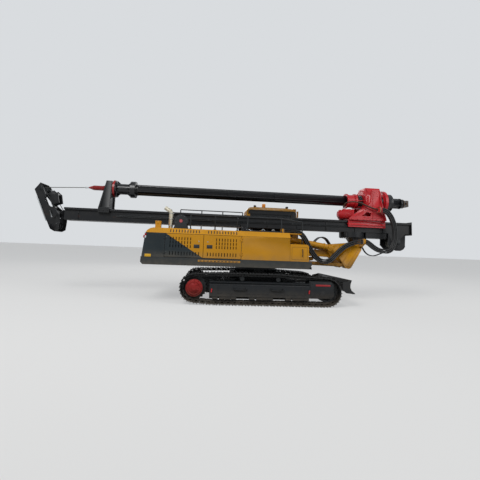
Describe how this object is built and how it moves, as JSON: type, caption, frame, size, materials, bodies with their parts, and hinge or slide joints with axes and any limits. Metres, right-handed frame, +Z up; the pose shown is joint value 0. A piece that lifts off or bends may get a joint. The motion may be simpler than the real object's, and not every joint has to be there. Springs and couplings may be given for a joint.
{
  "type": "rotary piling rig",
  "caption": "Rotary piling rig on crawler tracks, mast and kelly bar laid back over a yellow upper body for transport, red rotary drive at the front end.",
  "frame": {"origin": "on the ground under the middle of the whole machine's outline", "axes": "+X forward to the boom and blade, +Y to the cab side, +Z up; the slew axis is 0.79 m ahead of the origin"},
  "size_m": [11.51, 2.8, 3.575],
  "materials": {
    "yellow_paint": "semi-gloss, the cab, housing and boom",
    "grey_paint": "satin, the deck and counterweight",
    "frame_paint": "satin, dusty, the undercarriage",
    "mast_paint": "satin, the mast and its fittings",
    "red_paint": "gloss, the rotary drive",
    "hub_paint": "satin, the final drives' caps",
    "track_steel": "worn and dusty",
    "kelly_steel": "black, semi-gloss",
    "dark_steel": "satin, winches, sheaves and rails",
    "rod_chrome": "polished",
    "pipe_metal": "pale, aluminised exhaust pipe",
    "engine_paint": "painted block",
    "window_glass": "dark tinted",
    "chair_cloth": "woven, dark",
    "trim_plastic": "grained",
    "amber_lens": "clear amber",
    "hose_rubber": "matt"
  },
  "bodies": {
    "undercarriage": {"carbody": "frame_paint", "slew_ring": "dark_steel", "track_frames": "frame_paint", "track_right": "track_steel", "track_left": "track_steel", "sprockets": "track_steel", "final_drives": "hub_paint", "idlers": "dark_steel", "rollers": "dark_steel"},
    "blade_body": {"blade": "track_steel"},
    "blade_barrels": {"blade_cylinders": "dark_steel"},
    "blade_rams": {"blade_rods": "rod_chrome"},
    "upper_body": {"deck": "grey_paint", "counterweight": "grey_paint", "hood": "yellow_paint", "tool_box": "yellow_paint", "engine": "engine_paint", "handrails": "dark_steel", "exhaust": "pipe_metal", "air_box": "yellow_paint", "cab": "yellow_paint", "cab_glass": "window_glass", "operator_chair": "chair_cloth", "console": "trim_plastic", "beacon": "amber_lens", "winch_frame": "dark_steel", "hose_loop_rear": "hose_rubber"},
    "right_rear_door": {"door_right_rear": "yellow_paint"},
    "right_front_door": {"door_right_front": "yellow_paint"},
    "left_rear_door": {"door_left_rear": "yellow_paint"},
    "left_front_door": {"door_left_front": "yellow_paint"},
    "cab_side_door": {"cab_door": "yellow_paint", "door_glass": "window_glass"},
    "main_drum": {"winch_drum": "dark_steel"},
    "boom_body": {"boom": "yellow_paint", "hose_loop_front": "hose_rubber", "boom_hoses": "hose_rubber"},
    "links": {"boom_links": "yellow_paint"},
    "boom_barrel": {"boom_cylinder": "yellow_paint"},
    "boom_ram": {"boom_rod": "rod_chrome"},
    "bracket_body": {"bracket": "yellow_paint", "hose_drop_lower": "hose_rubber", "winch_hoses": "hose_rubber"},
    "mast_barrels": {"mast_cylinders": "yellow_paint"},
    "mast_rams": {"mast_rods": "rod_chrome"},
    "mast_body": {"mast": "mast_paint", "guide_rails": "mast_paint", "mast_cradle": "mast_paint", "aux_winch_frame": "mast_paint", "hose_drop_upper": "hose_rubber"},
    "head_body": {"mast_head": "mast_paint"},
    "upper_sheave_pair": {"upper_sheaves": "dark_steel"},
    "lower_sheave_pair": {"lower_sheaves": "dark_steel"},
    "aux_drum_body": {"aux_drum": "dark_steel"},
    "guide_body": {"kelly_guide": "mast_paint"},
    "kelly_bar": {"kelly": "kelly_steel"},
    "drive_body": {"drive": "red_paint", "drive_spring": "dark_steel"}
  },
  "joints": [
    {"name": "slew", "type": "hinge", "parent": "undercarriage", "child": "upper_body", "pos_m": [0.79, 0, 1], "axis": [0, 0, 1], "continuous": true},
    {"name": "blade_lower", "type": "hinge", "parent": "undercarriage", "child": "blade_body", "pos_m": [1.87, 0, 0.47], "axis": [0, 1, 0], "range_deg": [0, 13]},
    {"name": "blade_barrel_turn", "type": "hinge", "parent": "undercarriage", "child": "blade_barrels", "pos_m": [1.83, 0, 0.7], "axis": [0, 1, 0], "range_deg": [0, 12.5]},
    {"name": "blade_ram_slide", "type": "slide", "parent": "blade_barrels", "child": "blade_rams", "axis": [0.9976, 0, -0.0688], "range_m": [0, 0.05]},
    {"name": "right_rear_door_hinge", "type": "hinge", "parent": "upper_body", "child": "right_rear_door", "pos_m": [-1.837, -1.315, 1.5], "axis": [0, 0, -1], "range_deg": [0, 95]},
    {"name": "right_front_door_hinge", "type": "hinge", "parent": "upper_body", "child": "right_front_door", "pos_m": [0.194, -1.315, 1.5], "axis": [0, 0, 1], "range_deg": [0, 95]},
    {"name": "left_rear_door_hinge", "type": "hinge", "parent": "upper_body", "child": "left_rear_door", "pos_m": [-1.837, 1.315, 1.5], "axis": [0, 0, 1], "range_deg": [0, 95]},
    {"name": "left_front_door_hinge", "type": "hinge", "parent": "upper_body", "child": "left_front_door", "pos_m": [0.194, 1.315, 1.5], "axis": [0, 0, -1], "range_deg": [0, 95]},
    {"name": "cab_door_hinge", "type": "hinge", "parent": "upper_body", "child": "cab_side_door", "pos_m": [1.026, 1.365, 1.9], "axis": [0, 0, 1], "range_deg": [0, 95]},
    {"name": "main_drum_spin", "type": "hinge", "parent": "upper_body", "child": "main_drum", "pos_m": [-1.47, 0, 2.19], "axis": [0, 1, 0], "continuous": true},
    {"name": "boom_lift", "type": "hinge", "parent": "upper_body", "child": "boom_body", "pos_m": [1.51, 0, 1.46], "axis": [0, -1, 0], "range_deg": [0, 55], "deforming": ["hose_loop_rear"]},
    {"name": "link_turn", "type": "hinge", "parent": "upper_body", "child": "links", "pos_m": [1.83, 0, 1.15], "axis": [0, -1, 0], "range_deg": [0, 55]},
    {"name": "boom_barrel_turn", "type": "hinge", "parent": "upper_body", "child": "boom_barrel", "pos_m": [1.94, 0, 1.15], "axis": [0, -1, 0], "range_deg": [0, 61.5]},
    {"name": "boom_ram_slide", "type": "slide", "parent": "boom_barrel", "child": "boom_ram", "axis": [0.9806, 0, 0.1961], "range_m": [0, 0.48]},
    {"name": "bracket_turn", "type": "hinge", "parent": "boom_body", "child": "bracket_body", "pos_m": [3.19, 0, 1.42], "axis": [0, 1, 0], "range_deg": [0, 55], "deforming": ["hose_loop_front", "boom_hoses"]},
    {"name": "mast_raise", "type": "hinge", "parent": "bracket_body", "child": "mast_body", "pos_m": [4.15, 0, 1.86], "axis": [0, 1, 0], "range_deg": [0, 90], "deforming": ["hose_drop_lower", "winch_hoses"]},
    {"name": "mast_barrel_turn", "type": "hinge", "parent": "bracket_body", "child": "mast_barrels", "pos_m": [2.99, 0, 1.633], "axis": [0, 1, 0], "range_deg": [0, 99.5]},
    {"name": "mast_ram_slide", "type": "slide", "parent": "mast_barrels", "child": "mast_rams", "axis": [-0.9873, 0, 0.1591], "range_m": [0, 1.58]},
    {"name": "head_fold", "type": "hinge", "parent": "mast_body", "child": "head_body", "pos_m": [-5.06, 0, 2.27], "axis": [0, -1, 0], "range_deg": [0, 40]},
    {"name": "upper_sheave_spin", "type": "hinge", "parent": "head_body", "child": "upper_sheave_pair", "pos_m": [-5.58, 0, 2.99], "axis": [0, 1, 0], "continuous": true},
    {"name": "lower_sheave_spin", "type": "hinge", "parent": "head_body", "child": "lower_sheave_pair", "pos_m": [-5.125, 0, 1.965], "axis": [0, 1, 0], "continuous": true},
    {"name": "aux_drum_spin", "type": "hinge", "parent": "mast_body", "child": "aux_drum_body", "pos_m": [5.24, 0, 1.87], "axis": [0, 1, 0], "continuous": true},
    {"name": "guide_feed", "type": "slide", "parent": "mast_body", "child": "guide_body", "axis": [1, 0, 0], "range_m": [0, 3]},
    {"name": "kelly_spin", "type": "hinge", "parent": "guide_body", "child": "kelly_bar", "pos_m": [0.79, 0, 3.155], "axis": [1, 0, 0], "continuous": true},
    {"name": "drive_feed", "type": "slide", "parent": "mast_body", "child": "drive_body", "axis": [-1, 0, 0], "range_m": [0, 2.9], "deforming": ["hose_drop_upper"]}
  ],
  "couplings": [
    {"joint": "blade_barrel_turn", "follows": "blade_lower", "ratio": 0.93331},
    {"joint": "blade_ram_slide", "follows": "blade_lower", "m_per_rad": 0.21908},
    {"joint": "link_turn", "follows": "boom_lift", "ratio": 1},
    {"joint": "bracket_turn", "follows": "boom_lift", "ratio": 1},
    {"joint": "boom_barrel_turn", "follows": "boom_lift", "ratio": 1.1091},
    {"joint": "boom_ram_slide", "follows": "boom_lift", "m_per_rad": 0.49876},
    {"joint": "mast_barrel_turn", "follows": "mast_raise", "ratio": 1.1052},
    {"joint": "mast_ram_slide", "follows": "mast_raise", "m_per_rad": 1.0031}
  ]
}
